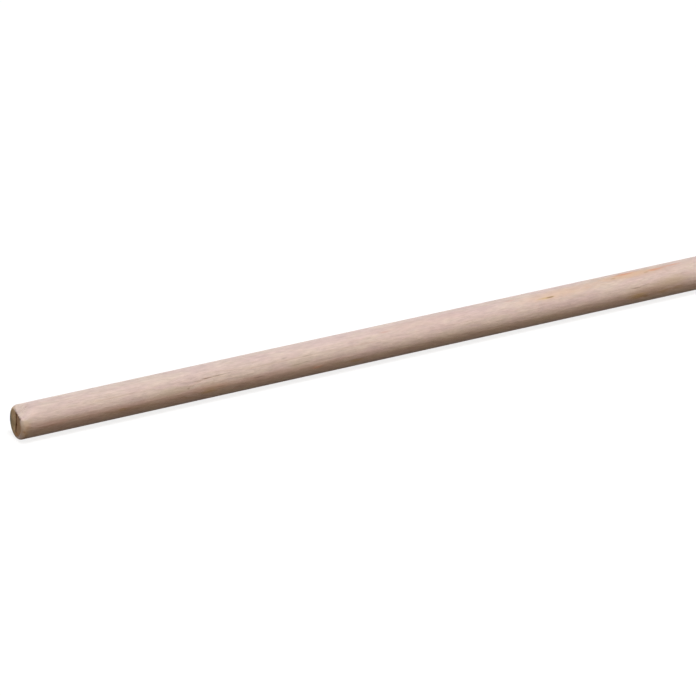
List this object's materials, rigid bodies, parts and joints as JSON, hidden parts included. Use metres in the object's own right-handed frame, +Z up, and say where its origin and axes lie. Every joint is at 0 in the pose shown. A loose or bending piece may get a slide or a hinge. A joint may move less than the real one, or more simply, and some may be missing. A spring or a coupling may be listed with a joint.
{
  "type": "wooden dowel rod",
  "caption": "Straight round wooden rod, plain and unfinished, with eased ends, one square and one sawn a little off square.",
  "frame": {"origin": "middle of the rod, on its axis", "axes": "+X along the rod towards its square-cut end, +Z up, with the sawn end's sanded flat on the upper -Y side"},
  "size_m": [0.3047, 0.0126, 0.0126],
  "materials": {
    "bare_birch": "bare sanded birch, pale pinkish tan with fine lengthwise grain, darker end grain"
  },
  "bodies": {
    "root": {"dowel_rod": "bare_birch"}
  },
  "joints": []
}
